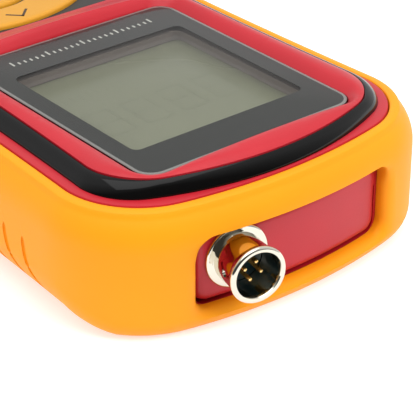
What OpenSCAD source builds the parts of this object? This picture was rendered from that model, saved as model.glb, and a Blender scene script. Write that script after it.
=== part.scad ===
// Handheld grain moisture meter: stretched-on rubber boot, two case halves, display, keypad,
// probe socket and battery bay. The meter lies on its back: +Z is out of the display, +Y is
// towards the probe socket, and Z = 0 is the underside of the boot.

/* [Boot] */
// Length of the boot
boot_l = 175; // [165:1:185]
// Width of the boot at both ends
boot_w = 82; // [78:1:90]
// How far each side is drawn in at the waist
waist = 1.8; // [0:0.1:3]
// Y of the boot's socket end
end_y = 84.2; // [80:0.1:90]
// Height of the boot's lip
boot_h = 25.5; // [22:0.1:27]
// Thickness of the boot's wall
boot_t = 3.2; // [2.5:0.1:4]
// Radius of the bowed ends of the raised face
bow = 65; // [50:1:120]
// Radius of the bowed end faces of the body and of its lip
body_bow = 110; // [80:1:160]
// Radius of the rolled shoulder below the lip
shoulder_r = 9.5; // [6:0.5:12]
// Radius of the foot along the sides
side_foot = 10; // [5:0.5:12]
// Radius of the foot at both ends
end_foot = 5; // [4:0.5:10]
// Plan radius of the boot's corners
corner_r = 21; // [15:1:25]
// Number of grip grooves in each side
grooves = 10; // [4:1:16]
// Y of the grip groove nearest the socket
groove_y = 54; // [40:1:58]
// Distance between neighbouring grip grooves
groove_pitch = 6.4; // [5:0.2:9]

/* [Case] */
// Wall thickness of the case halves
case_t = 2.2; // [1.5:0.1:3]
// Height of the joint between the case halves
split_z = 14; // [10:0.5:16]
// Height of the ledge round the raised face
ledge_z = 25.6; // [24:0.1:26]
// Height of the crowned face on the centre line
crown_z = 30.4; // [29:0.1:31]
// Radius of the crowned face
crown_r = 237; // [150:1:400]
// Half width of the raised face
face_x = 30; // [29:0.1:31]
// Half width of the black trim ring
ring_x = 33.4; // [32:0.1:34]

/* [Display] */
// Width of the lens
lens_w = 50; // [46:1:54]
// Length of the lens
lens_l = 59.6; // [55:0.1:64]
// Y of the lens's edge nearest the keypad
lens_y = 10.1; // [8:0.1:12]
// Height of the lens's top
lens_z = 28; // [27:0.1:29]
// Thickness of the lens
lens_t = 1.4; // [1:0.1:2]
// Width of the clear window in the lens's print
view_w = 40.8; // [36:0.1:44]
// Length of the clear window in the lens's print
view_l = 39.2; // [36:0.1:44]

/* [Keypad] */
// Y of the centre of the keypad
pad_y = -26.7; // [-30:0.1:-24]
// Radius of the round middle key
key_r = 13; // [10:0.5:14]
// Gap between neighbouring keys
key_gap = 1.3; // [1.1:0.1:2]
// Height of the key tops
key_z = 26.3; // [25.8:0.1:27]

/* [Socket] */
// X of the probe socket
socket_x = 13.9; // [10:0.1:18]
// Height of the probe socket's axis
socket_z = 13.3; // [12:0.1:15]
// Radius of the socket's barrel
barrel_r = 4.86; // [4.5:0.01:5.2]
// Radius of the socket's rolled rim
rim_r = 5.62; // [5:0.01:6]
// Length of the socket in front of the case
socket_l = 8.85; // [7:0.05:10]

/* [Battery bay] */
// Radius of an AAA cell
cell_r = 5.25; // [5:0.05:5.3]
// Length of an AAA cell
cell_l = 44.5; // [43:0.1:45]
// Distance between neighbouring cells
cell_pitch = 11; // [10.8:0.1:12]
// Y of the bay's wall nearest the keypad
bay_y = -25.5; // [-30:0.1:-20]

/* [Hidden] */
$fn = 96;
gap = 0.05;
half_w = boot_w / 2;
tail_y = end_y - boot_l;
mid_y = end_y - boot_l / 2;
floor_z = boot_t;
face_top = end_y - 7.6;
face_tail = tail_y + 11;
lens_mid = lens_y + lens_l / 2;
view_mid = 40.5;
shelf_z = lens_z - lens_t - 0.4;
shoulder_z = 17.9;
board_z = 18.4;
board_t = 1.6;
board_top = board_z + board_t;
board_screws_y = [-46, 8, 60];
board_screw_x = 30.2;
post_x = 27.5;
posts_y = [-74, 67.5];
plate_z = 25.4;
plate_t = 1.5;
arc_r = 31.6;
arc_off = 8.6;
side_r = 34;
side_off = 9.5;
yaw = 10.2;
socket_y = end_y - 3.75;
seat_z = -2.5;
end_fall = 1.4;
panel_in = 2.6;
panel_z = 12.05;
bay_l = cell_l + 6;
bay_w = 4 * cell_pitch + 0.6;
bay_end = bay_y - bay_l;
bay_roof = 16.4;
cell_z = 10.9;
door_t = 1.8;
hinge_y = bay_end - 1.7;
hinge_z = floor_z + 1.5;
hinge_r = 1.5;
pin_r = 0.9;
label_w = 44;
label_l = 36;
label_y = 20;
cells = [for (i = [0:3]) [(i - 1.5) * cell_pitch, i % 2 == 0 ? 1 : -1]];

// ---- shared shapes ----

module rounded(w, l, r) {
  square([w - 2 * r, l], center = true);
  square([w, l - 2 * r], center = true);
  for (x = [-1, 1], y = [-1, 1])
    translate([x * (w / 2 - r), y * (l / 2 - r)]) circle(r);
}

module block(w, l, h, z, y = 0, r = 1) {
  translate([0, y, z]) linear_extrude(h) rounded(w, l, r);
}

// Rounded plan with bowed ends, from y0 to y1: the corner arcs run tangent to sides and ends.
module outline(hw, y0, y1, r, end_r) {
  cx = hw - r;
  lean = asin(cx / (end_r - r));
  half = (y1 - y0) / 2;
  cy = half - end_r + (end_r - r) * cos(lean);
  translate([0, (y0 + y1) / 2]) difference() {
    square([2 * hw, 2 * half], center = true);
    for (side = [0, 1], end = [0, 1]) mirror([side, 0]) mirror([0, end]) {
      difference() {
        translate([0, half - r / 2]) square([hw, r]);
        translate([0, half - end_r]) circle(end_r, $fn = 360);
      }
      difference() {
        polygon([[cx, cy], [cx + 2 * r, cy], [cx + 2 * r, cy + 3 * r],
                 [cx + 3 * r * sin(lean), cy + 3 * r * cos(lean)]]);
        translate([cx, cy]) circle(r);
      }
    }
  }
}

// The boot's plan, moved in by i, with its drawn-in waist.
module body_plan(i) {
  reach = boot_l / 2 - corner_r + 6;
  waist_r = (reach * reach + waist * waist) / (2 * waist);
  difference() {
    outline(half_w - i, tail_y + i, end_y - i, corner_r - i, body_bow - i);
    for (s = [-1, 1])
      translate([s * (half_w - waist + waist_r), mid_y]) circle(waist_r + i, $fn = 1440);
  }
}

// One edge profile, used across the body and along it: rolled shoulder, rounded foot, flat top.
module edge_profile(half, foot_r, i) {
  foot = max(foot_r, i + 0.6);
  for (s = [-1, 1]) {
    translate([s * (half - foot), foot]) circle(foot - i);
    intersection() {
      translate([s * (half - shoulder_r), shoulder_z]) circle(shoulder_r - i);
      translate([-half, 0]) square([2 * half, boot_h - i]);
    }
  }
  translate([-half + side_foot, i]) square([2 * (half - side_foot), boot_h - 2 * i]);
  translate([-half + foot, i]) square([2 * (half - foot), shoulder_z - i]);
  translate([-half + i, foot]) square([2 * (half - i), shoulder_z - foot]);
}

// The whole body's envelope moved in by i.
module envelope(i) {
  intersection() {
    linear_extrude(boot_h) body_plan(i);
    translate([0, end_y, 0]) rotate([90, 0, 0]) linear_extrude(boot_l)
      edge_profile(half_w, side_foot, i);
    translate([-half_w, mid_y, 0]) rotate([90, 0, 90]) linear_extrude(boot_w)
      edge_profile(boot_l / 2, end_foot, i);
  }
}

module between(z0, z1) {
  translate([-half_w, tail_y, z0]) cube([boot_w, boot_l, z1 - z0]);
}

module face_slab(hw, grow, z0, z1, r, end_r = bow) {
  translate([0, 0, z0]) linear_extrude(z1 - z0)
    outline(hw, face_tail - grow, face_top + grow, r, end_r);
}

// Everything below the crowned face, raised by lift: narrow flats across, falling away at both ends.
module crown(lift = 0) {
  across = [for (x = [-42:6:42]) [x, crown_z + lift - x * x / (2 * crown_r)]];
  fall = [for (s = [0:2:14]) [s, crown_z + lift - end_fall * pow(s / 12, 2)]];
  low = face_tail + 12;
  high = face_top - 12;
  intersection() {
    translate([0, end_y + 1, 0]) rotate([90, 0, 0]) linear_extrude(boot_l + 2)
      polygon([[-42, 10], each across, [42, 10]]);
    translate([-half_w, 0, 0]) rotate([90, 0, 90]) linear_extrude(boot_w)
      polygon([[low - 14, 10], for (i = [7:-1:0]) [low - fall[i][0], fall[i][1]],
               for (f = fall) [high + f[0], f[1]], [high + 14, 10]]);
  }
}

module at_socket() {
  translate([socket_x, socket_y, socket_z]) rotate([-90, 0, -yaw]) children();
}

module at_screws() {
  for (s = [-1, 1], y = board_screws_y) translate([s * board_screw_x, y, 0]) children();
}

module at_posts() {
  for (s = [-1, 1], y = posts_y) translate([s * post_x, y, 0]) children();
}

// Round wire through a list of points.
module wire(points, r) {
  for (i = [0:len(points) - 2]) {
    v = points[i + 1] - points[i];
    translate(points[i]) {
      if (i > 0) sphere(r + 0.03);
      rotate([0, acos(v[2] / norm(v)), atan2(v[1], v[0])]) cylinder(h = norm(v), r = r);
    }
  }
}

// ---- boot ----

module grip_grooves() {
  for (s = [0, 1], i = [0:grooves - 1]) mirror([s, 0, 0])
    translate([half_w + 0.1, groove_y - groove_pitch * i, 8]) rotate([12, 0, 0])
      cylinder(h = 12, r = 0.6, center = true);
}

module boot() color("orange") {
  difference() {
    envelope(0);
    envelope(boot_t - gap);
    face_slab(35, 2.8, 20, 27, 15, body_bow);
    block(54, 127, boot_t + 1, -1, -18.5, 8);
    translate([0, end_y - 12, 12.15]) rotate([-90, 0, 0]) linear_extrude(20) rounded(45.4, 15.5, 3);
    grip_grooves();
  }
}

// ---- case ----

module socket_hole() {
  at_socket() {
    cylinder(h = 30, r = barrel_r + 0.1, center = true);
    translate([0, 0, -gap]) cylinder(h = 12, r = 6.3);
    translate([0, 0, -12]) cylinder(h = 12 + seat_z, r = 7.6);
  }
}

// The seal stops at the end panel, which the front half carries in one piece.
module seal_ring(slack) {
  translate([0, 0, split_z - 0.35 - slack]) linear_extrude(0.7 + 2 * slack) difference() {
    body_plan(boot_t + 0.7 - slack);
    body_plan(boot_t + 1.5 + slack);
    translate([-22.5 + slack, end_y - 10]) square([45 - 2 * slack, 10]);
  }
}

// Raised pad that fills the boot's end window.
module end_pad() {
  intersection() {
    translate([0, 0, 4]) linear_extrude(16) difference() {
      body_plan(panel_in);
      body_plan(boot_t + 1);
    }
    translate([0, end_y - 12, panel_z]) rotate([-90, 0, 0]) linear_extrude(20) rounded(43.6, 13.9, 2.4);
  }
}

module lens_well() {
  block(lens_w + 0.3, lens_l + 0.3, 6, shelf_z, lens_mid, 3);
  hull() {
    block(lens_w + 1, lens_l + 1, 0.1, lens_z - 0.3, lens_mid, 3.4);
    block(lens_w + 5, lens_l + 6, 0.1, crown_z + 0.4, lens_mid + 0.6, 5);
  }
  block(43, 41.4, 8, 22, view_mid, 2.5);
}

// The face falls away to the keys in a shallow dish.
module keypad_dish() {
  hull() {
    block(53, 49.8, 0.1, key_z + 0.1, pad_y, 7);
    block(59.6, 73.8, 0.1, crown_z + 0.4, pad_y, 9.5);
  }
}

module front_shell() color("crimson") {
  difference() {
    union() {
      intersection() {
        envelope(boot_t);
        between(split_z, boot_h);
      }
      face_slab(34.8, 2.6, 20, ledge_z, 14.8, body_bow);
      intersection() {
        face_slab(face_x, 0, ledge_z - 1, crown_z + 1, 11);
        crown();
      }
      end_pad();
    }
    difference() {
      intersection() {
        envelope(boot_t + case_t);
        between(0, 19.2);
      }
      at_posts() cylinder(h = 30, r = 3.2);
    }
    difference() {
      face_slab(32.6, -0.4, split_z, 22.3, 12.6);
      at_posts() cylinder(h = 30, r = 3.2);
      at_screws() translate([0, 0, board_top + gap]) cylinder(h = 10, r = 2.1);
    }
    lens_well();
    keypad_dish();
    block(49.4, 46.4, 12.7, 12, view_mid, 1);
    block(53, 49.8, 10, plate_z - 1, pad_y, 7);
    block(55.3, 52.6, 13.4, plate_z - 13.4, pad_y, 8);
    block(54, 22, 14, 12.4, -66.5, 5);
    socket_hole();
    seal_ring(gap);
    at_posts() {
      cylinder(h = split_z + 4.6, r = 2.05);
      cylinder(h = 20.6, r = 1.35);
    }
    at_screws() cylinder(h = 22.6, r = 1.05);
  }
}

module bay_shell() {
  translate([0, bay_y - bay_l / 2, floor_z + 2]) difference() {
    translate([0, 0, (bay_roof + 1.5 - floor_z - 2) / 2])
      cube([bay_w + 2.8, bay_l + 2.8, bay_roof + 1.5 - floor_z - 2], center = true);
    translate([-bay_w / 2, -bay_l / 2, -1]) cube([bay_w, bay_l, bay_roof - floor_z - 1]);
  }
}

module hinge_bores() {
  translate([0, hinge_y, hinge_z]) rotate([0, 90, 0])
    cylinder(h = bay_w + 6.6, r = pin_r + 0.05, center = true);
}

module rear_shell() color("firebrick") {
  difference() {
    union() {
      difference() {
        intersection() {
          envelope(boot_t);
          between(floor_z, split_z);
        }
        intersection() {
          envelope(boot_t + case_t - 0.2);
          between(floor_z + 2, 30);
        }
      }
      at_posts() translate([0, 0, floor_z + 1]) cylinder(h = split_z - floor_z - 1, r = 3.2);
      bay_shell();
      for (s = [-1, 1])
        translate([s * (bay_w / 2 + 2), hinge_y, floor_z + 2.4]) cube([2.6, 4.4, 2.8], center = true);
    }
    translate([-bay_w / 2 - 0.6, hinge_y - 1.9, floor_z - 1]) cube([bay_w + 1.2, bay_y - hinge_y + 2.9, 3.05]);
    translate([-bay_w / 2 - 0.6, hinge_y - 1.9, floor_z]) cube([bay_w + 1.2, 3.9, 3.5]);
    translate([0, 0, -0.3]) end_pad_slot();
    seal_ring(gap);
    hinge_bores();
    at_posts() {
      cylinder(h = 20, r = 1.4);
      cylinder(h = floor_z + 2.6, r = 2.7);
    }
    block(label_w + 0.4, label_l + 0.4, 0.3, floor_z - 0.01, label_y, 2);
    socket_hole();
  }
}

// Room for the front half's end pad in the rear half's wall.
module end_pad_slot() {
  translate([0, end_y - 12, panel_z]) rotate([-90, 0, 0]) linear_extrude(20) rounded(44, 14.7, 2.4);
}

module case_seal() color("dimgray") seal_ring(0);

// Two sloping facets round the raised face, the upper one flatter.
module trim_ring() color("black") {
  foot_z = ledge_z + gap;
  knee_z = 27.4;
  difference() {
    intersection() {
      hull() {
        face_slab(ring_x, 2, foot_z, foot_z + 0.3, 13.5);
        face_slab(ring_x - 0.8, 1.4, knee_z - 0.1, knee_z, 13);
        face_slab(face_x + 0.5, 0.4, crown_z, crown_z + 0.1, 11.4);
      }
      crown(0.1);
    }
    face_slab(face_x + gap, gap, 20, 40, 11 + gap);
  }
}

// ---- display ----

// A plate with its four long top edges bevelled by c.
module bevelled(w, l, h, z, y, r, c) {
  intersection() {
    block(w, l, h, z, y, r);
    translate([0, y + l / 2, z]) rotate([90, 0, 0]) linear_extrude(l)
      polygon([[-w / 2, 0], [w / 2, 0], [w / 2, h - c], [w / 2 - c, h], [c - w / 2, h], [-w / 2, h - c]]);
    translate([-w / 2, y, z]) rotate([90, 0, 90]) linear_extrude(w)
      polygon([[-l / 2, 0], [l / 2, 0], [l / 2, h - c], [l / 2 - c, h], [c - l / 2, h], [-l / 2, h - c]]);
  }
}

module lens() color("lightgray", 0.4) bevelled(lens_w, lens_l, lens_t, lens_z - lens_t, lens_mid, 3, 0.7);

module lens_print() color("black") {
  difference() {
    block(lens_w - 0.2, lens_l - 0.2, 0.15, lens_z - lens_t - 0.15, lens_mid, 2.9);
    block(view_w, view_l, 2, shelf_z, view_mid, 2);
  }
}

// Foam tape under the lens, with a skirt that closes the gap down to the display glass.
module lens_tape() color("dimgray") {
  difference() {
    union() {
      block(lens_w - 0.4, lens_l - 0.4, 0.25, shelf_z, lens_mid, 2.8);
      block(42.8, 41.2, shelf_z + 0.1 - board_top - 4.4, board_top + 4.4, view_mid, 2.4);
    }
    block(41.4, 39.8, 9, board_top + 1, view_mid, 1.8);
  }
}

module lcd_frame() color("black") {
  difference() {
    block(49, 46, 4.6, board_top + gap, view_mid, 0.8);
    block(47.4, 44.4, 4.5, board_top - 0.1, view_mid, 0.5);
    block(44.4, 41.6, 9, board_top, view_mid, 1);
  }
}

module lcd_glass() color("darkseagreen") {
  block(47, 44, 0.9, board_top + 2.35, view_mid, 0.4);
  block(47, 40.5, 0.9, board_top + 3.25, view_mid, 0.4);
}

module lcd_polarizer() color("darkgray") block(46, 39.6, 0.2, board_top + 4.15, view_mid, 0.4);

module lcd_backlight() color("white") block(41, 36, 2.15, board_top + 0.1, view_mid, 1);

module backlight_leds() color("lightyellow") {
  for (s = [-1, 1], y = [-1, 1])
    translate([s * 22, view_mid + 9 * y, board_top + 0.9]) cube([1.8, 3.5, 1.6], center = true);
}

module zebra_strips() color("hotpink") {
  for (s = [-1, 1])
    translate([0, view_mid + s * 20.6, board_top + 1.2]) cube([44, 2, 2.25], center = true);
}

// ---- keypad ----

// Outline of the whole key cluster, grown by g.
module cluster_plan(g) {
  intersection() {
    translate([0, -arc_off]) circle(arc_r + g);
    translate([0, arc_off]) circle(arc_r + g);
    translate([-side_off, 0]) circle(side_r + g);
    translate([side_off, 0]) circle(side_r + g);
  }
}

// One outer key's plan, pointing along the given turn from +Y, grown by g.
module sector(turn, g) {
  q = key_gap / 2 - g;
  difference() {
    cluster_plan(g);
    circle(key_r + key_gap - g);
    rotate(turn) polygon([[0, q * sqrt(2)], [60, 60 + q * sqrt(2)], [60, -60], [-60, -60],
                          [-60, 60 + q * sqrt(2)]]);
  }
}

module key_plan(turn, g) {
  if (turn == undef) circle(key_r + g);
  else sector(turn, g);
}

module key(turn) {
  color("gold") translate([0, pad_y, 0]) {
    translate([0, 0, 22.9]) linear_extrude(key_z - 22.9) key_plan(turn, 0);
    translate([0, 0, 22.9]) linear_extrude(0.95) key_plan(turn, 0.5);
    rotate(turn == undef ? 0 : turn) translate([0, turn == undef ? 0 : 18.2, 22.3])
      cylinder(h = 1, r = 2.4);
  }
}

module keypad_plate() color("darkslategray") {
  difference() {
    block(55, 52.2, plate_t, plate_z - plate_t - gap, pad_y, 7.8);
    translate([0, pad_y, plate_z - 3]) linear_extrude(5) {
      key_plan(undef, 0.25);
      for (turn = [0:90:270]) key_plan(turn, 0.25);
    }
  }
}

module key_mat() color("gray") {
  difference() {
    union() {
      block(53, 50, 0.85, board_top + gap, pad_y, 6);
      translate([0, pad_y, board_top + 0.5]) for (p = dome_spots) translate(p) cylinder(h = 0.9, r = 3.4);
    }
    translate([0, pad_y, board_top - 1]) for (p = dome_spots) translate(p) cylinder(h = 1.95, r = 2.6);
  }
}

dome_spots = [[0, 0, 0], for (a = [0:90:270]) [18.2 * sin(a), 18.2 * cos(a), 0]];

module key_pills() color("black") {
  translate([0, pad_y, board_top + 0.65]) for (p = dome_spots) translate(p) cylinder(h = 0.3, r = 1.8);
}

// ---- electronics ----

module main_board() color("green") {
  difference() {
    block(64, 117, board_t, board_z, 5, 8);
    at_screws() translate([0, 0, board_z - 1]) cylinder(h = 4, r = 1.15);
  }
}

module chip(w, l, h, legs) {
  translate([-w / 2, -l / 2, board_z - h - 0.15]) cube([w, l, h]);
  for (s = [-1, 1], i = [0:legs - 1])
    translate([s * w / 2, (i - (legs - 1) / 2) * l / legs, board_z - 0.55])
      cube([2, l / legs / 2, 1], center = true);
}

module controller_chip() color("dimgray") translate([4, 12, 0]) chip(12, 12, 1.5, 12);

module small_chips() color("dimgray") {
  for (p = [[-14, 18], [20, 26], [16, 44]]) translate([p[0], p[1], 0]) chip(4, 5, 1.5, 4);
}

module chip_parts() color("tan") {
  for (i = [0:5], j = [0, 1])
    translate([-20 + 6 * i, 30 + 6 * j, board_z - 0.45]) cube([2, 1.2, 0.8], center = true);
}

module crystal() color("silver") translate([-6, 2, board_z - 3.6]) linear_extrude(3.55) rounded(10.5, 4, 1.9);

module capacitors() color("navy") {
  for (x = [-24, -16, -8]) translate([x, 50, board_z - 7.05]) cylinder(h = 7, r = 2.5);
}

module buzzer() color("black") {
  translate([-20, 6, board_z - 5.55]) difference() {
    cylinder(h = 5.5, r = 6);
    translate([0, 0, -1]) cylinder(h = 3, r = 1);
  }
}

module board_header() color("ivory") {
  translate([8, 58, board_z - 2.55]) cube([12, 5, 5], center = true);
}

module board_screws() color("silver") {
  at_screws() {
    translate([0, 0, board_z - 1.35]) cylinder(h = 1.3, r = 1.9);
    translate([0, 0, board_z - 1]) cylinder(h = 5, r = 1);
  }
}

module shell_screws() color("silver") {
  at_posts() difference() {
    union() {
      translate([0, 0, floor_z + 0.7]) cylinder(h = 1.85, r = 2.4);
      translate([0, 0, floor_z + 1]) cylinder(h = 16, r = 1.3);
    }
    for (a = [0, 90]) rotate(a) translate([0, 0, floor_z + 0.8]) cube([2.6, 0.6, 1.6], center = true);
  }
}

module shell_inserts() color("gold") {
  at_posts() translate([0, 0, split_z + 0.5]) difference() {
    cylinder(h = 4, r = 2);
    translate([0, 0, -1]) cylinder(h = 6, r = 1.35);
  }
}

// ---- probe socket ----

module socket_shell() color("silver") {
  at_socket() difference() {
    rotate_extrude() polygon([
      [4.2, -7.5], [barrel_r, -7.5], [barrel_r, 0], [6.2, 0], [6.2, 0.9], [5.9, 1.2], [barrel_r, 1.2],
      [barrel_r, socket_l - 1.6], [rim_r - 0.1, socket_l - 0.7], [rim_r, socket_l - 0.3],
      [rim_r - 0.3, socket_l], [4.75, socket_l], [4.35, socket_l - 0.6], [4.35, 1.5], [4.2, 1.5]]);
    rotate(2) translate([4, 0, latch_z]) rotate([0, 90, 0]) cylinder(h = 3, r = 0.7);
  }
}

pin_spots = [for (a = [-20.5:90:249.5]) [1.77 * cos(a), 1.77 * sin(a), 0]];
latch_z = 4.9;

module socket_insert() color("darkslategray") {
  at_socket() difference() {
    union() {
      translate([0, 0, -7]) cylinder(h = 8.4, r = 4.15);
      translate([0, 0, 1.55]) cylinder(h = 0.65, r = 4.3);
      translate([0, 0, 1]) cylinder(h = 1, r = 4.1);
    }
    for (p = pin_spots) translate(p) cylinder(h = 30, r = 0.43, center = true);
  }
}

module socket_pins() color("gold") {
  at_socket() for (p = pin_spots) translate(p) {
    translate([0, 0, -9.5]) cylinder(h = 16, r = 0.4);
    translate([0, 0, 6.5]) cylinder(h = 0.3, r1 = 0.4, r2 = 0.2);
  }
}

module socket_washer() color("silver") {
  at_socket() translate([0, 0, seat_z - 0.55]) difference() {
    cylinder(h = 0.5, r = 7);
    translate([0, 0, -1]) cylinder(h = 3, r = barrel_r + 0.15);
  }
}

module socket_nut() color("silver") {
  at_socket() translate([0, 0, seat_z - 2.9]) difference() {
    linear_extrude(2.3) polygon([for (a = [30:60:330]) 7 * [cos(a), sin(a)]]);
    translate([0, 0, -1]) cylinder(h = 4, r = barrel_r + 0.04);
  }
}

module socket_wires() color("white") {
  for (i = [0:3]) {
    p = pin_spots[i];
    back = 9.7;
    start = [socket_x + p[0] * cos(yaw) - back * sin(yaw), socket_y - back * cos(yaw) - p[0] * sin(yaw),
             socket_z - p[1]];
    wire([start, start - [0, 2.5, 0], [3.6 + 2.8 * i, 65, board_z - 3.4], [3.6 + 2.8 * i, 60.6, board_z - 3]],
         0.55);
  }
}

// ---- battery bay ----

module battery_door() color("firebrick") {
  difference() {
    union() {
      translate([-bay_w / 2 - 0.3, hinge_y, floor_z]) cube([bay_w + 0.6, bay_y + 0.7 - hinge_y, door_t]);
      translate([0, hinge_y, hinge_z]) rotate([0, 90, 0]) {
        cylinder(h = bay_w + 0.6, r = hinge_r, center = true);
        cylinder(h = bay_w + 5.6, r = pin_r, center = true);
      }
      translate([-4, bay_y - 1.6, floor_z + 1]) cube([8, 1.2, 2]);
    }
    for (i = [0:4]) translate([0, bay_y - 3 - 1.6 * i, floor_z]) rotate([0, 90, 0])
      cylinder(h = 14, r = 0.4, center = true);
  }
}

module door_foam() color("dimgray") {
  translate([-18, bay_y - 42, floor_z + door_t + gap]) cube([36, 34, 0.5]);
}

// Runs its children once per cell, with +Y towards that cell's spring end.
module at_cells() {
  for (c = cells)
    translate([c[0], bay_y - bay_l / 2, cell_z]) rotate(c[1] > 0 ? 0 : 180) children();
}

module cell_jackets() color("darkorange") {
  at_cells() translate([0, -cell_l / 2 - 1.2, 0]) rotate([-90, 0, 0]) difference() {
    cylinder(h = cell_l - 2.6, r = cell_r);
    translate([0, 0, -1]) cylinder(h = cell_l, r = cell_r - 0.2);
  }
}

module cell_cans() color("silver") {
  at_cells() translate([0, -cell_l / 2 - 2.4, 0]) rotate([-90, 0, 0]) {
    cylinder(h = 1.4, r = 1.9);
    translate([0, 0, 1]) cylinder(h = cell_l - 1, r = cell_r - 0.25);
  }
}

module contact_springs() color("silver") {
  at_cells() translate([0, cell_l / 2 - 2.35, 0]) rotate([-90, 0, 0])
    linear_extrude(4.7, twist = 1440, slices = 48, $fn = 6) translate([3, 0]) circle(0.3);
}

module contact_plates() color("silver") {
  for (c = cells, e = [-1, 1])
    translate([c[0], bay_y - bay_l / 2 + e * (bay_l / 2 - 0.25), cell_z]) cube([9, 0.4, 9], center = true);
}

module battery_wires() color("red") {
  for (s = [-1, 1])
    wire([[s * 18, bay_y + 1.9, 9], [s * 18, bay_y + 4, 10], [s * 16, bay_y + 5, 15],
          [s * 14, bay_y + 6, board_z - 0.6]], 0.55);
}

module rear_label() color("lightgray") block(label_w, label_l, 0.2, floor_z + 0.03, label_y, 1.8);

boot();
front_shell();
rear_shell();
case_seal();
trim_ring();
lens();
lens_print();
lens_tape();
keypad_plate();
key(0);  // key_top
key(180);  // key_bottom
key(90);  // key_left
key(270);  // key_right
key(undef);  // key_middle
key_mat();
key_pills();
lcd_frame();
lcd_glass();
lcd_polarizer();
lcd_backlight();
backlight_leds();
zebra_strips();
main_board();
controller_chip();
small_chips();
chip_parts();
crystal();
capacitors();
buzzer();
board_header();
board_screws();
shell_screws();
shell_inserts();
socket_shell();
socket_insert();
socket_pins();
socket_washer();
socket_nut();
socket_wires();
battery_door();
door_foam();
cell_jackets();
cell_cans();
contact_springs();
contact_plates();
battery_wires();
rear_label();
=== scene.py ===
"""The looks of a handheld grain moisture meter in a rubber boot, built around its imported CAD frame."""

import math

import bmesh
import bpy
import numpy as np
from mathutils import Matrix, Vector
from mathutils.geometry import delaunay_2d_cdt

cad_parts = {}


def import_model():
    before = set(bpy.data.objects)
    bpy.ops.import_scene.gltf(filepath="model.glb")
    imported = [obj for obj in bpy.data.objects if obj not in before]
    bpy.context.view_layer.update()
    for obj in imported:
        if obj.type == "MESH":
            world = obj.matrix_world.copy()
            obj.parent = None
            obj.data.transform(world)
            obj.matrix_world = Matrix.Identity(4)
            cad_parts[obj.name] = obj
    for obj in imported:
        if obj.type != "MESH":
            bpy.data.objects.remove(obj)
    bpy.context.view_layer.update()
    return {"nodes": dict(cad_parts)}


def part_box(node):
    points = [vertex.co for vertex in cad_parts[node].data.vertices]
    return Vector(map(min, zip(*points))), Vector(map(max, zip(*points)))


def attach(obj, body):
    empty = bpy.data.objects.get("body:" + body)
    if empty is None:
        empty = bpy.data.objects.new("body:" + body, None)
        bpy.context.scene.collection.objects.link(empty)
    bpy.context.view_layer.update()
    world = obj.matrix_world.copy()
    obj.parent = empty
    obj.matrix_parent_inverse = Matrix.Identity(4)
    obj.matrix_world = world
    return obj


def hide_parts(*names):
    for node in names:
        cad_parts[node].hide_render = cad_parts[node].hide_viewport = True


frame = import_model()

MM = 0.001


# ---- sizes, in millimetres, read from the frame ----

def box_mm(node):
    low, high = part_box(node)
    return np.array(low) / MM, np.array(high) / MM


BOOT_LOW, BOOT_HIGH = box_mm("boot")
RING_LOW, RING_HIGH = box_mm("trim_ring")
LENS_LOW, LENS_HIGH = box_mm("lens")
PLATE_LOW, PLATE_HIGH = box_mm("keypad_plate")
KEY_LOW, KEY_HIGH = box_mm("key_middle")
POLAR_LOW, POLAR_HIGH = box_mm("lcd_polarizer")

CLEARANCE = 0.05
LEDGE_Z = float(RING_LOW[2]) - CLEARANCE
LIP_Z = float(BOOT_HIGH[2])
LENS_W = float(LENS_HIGH[0] - LENS_LOW[0])
LENS_L = float(LENS_HIGH[1] - LENS_LOW[1])
LENS_MID = float(LENS_HIGH[1] + LENS_LOW[1]) / 2
LENS_TOP = float(LENS_HIGH[2])
VIEW_MID = float(POLAR_LOW[1] + POLAR_HIGH[1]) / 2
PAD_MID = float(KEY_LOW[1] + KEY_HIGH[1]) / 2
KEY_TOP = float(KEY_HIGH[2])


# ---- sizes of the parts that the frame's boxes don't give, in millimetres ----

BODY_LENGTH = 175.0
BODY_BOW = 110.0
FACE_BOW = 65.0
CORNER = 21.0
WALL = 3.2
VIEW_W = 40.8
VIEW_L = 39.2
OPENING_W = 53.0
OPENING_L = 49.8
SOCKET_X = 13.9
SOCKET_Z = 13.3

# Plans: half width, the two ends in Y, corner radius, how far each side is drawn in, and the ends' bow.
BODY_Y = float(BOOT_LOW[1])
BODY = dict(hw=41.0, y0=BODY_Y, y1=BODY_Y + BODY_LENGTH, r=CORNER, waist=1.8, bow=BODY_BOW)
RING = dict(hw=float(RING_HIGH[0]) + 0.6, y0=float(RING_LOW[1]), y1=float(RING_HIGH[1]), r=12.2, waist=1.8)
FACE = dict(hw=31.1, y0=RING["y0"] + 2, y1=RING["y1"] - 2, r=13.2, waist=1.8)
MOUTH = dict(hw=36.2, y0=RING["y0"] - 0.8, y1=RING["y1"] + 0.8, r=16.6, waist=1.6, bow=BODY_BOW)
LEDGE = dict(hw=36.0, y0=RING["y0"] - 0.6, y1=RING["y1"] + 0.6, r=16.4, waist=1.6, bow=BODY_BOW)


# ---- outlines and meshes ----

def arc(cx, cy, r, a0, a1, n):
    """n + 1 points on an arc, from angle a0 to a1 in degrees."""
    a = np.radians(np.linspace(a0, a1, n + 1))
    return np.stack([cx + r * np.cos(a), cy + r * np.sin(a)], axis=1)


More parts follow.
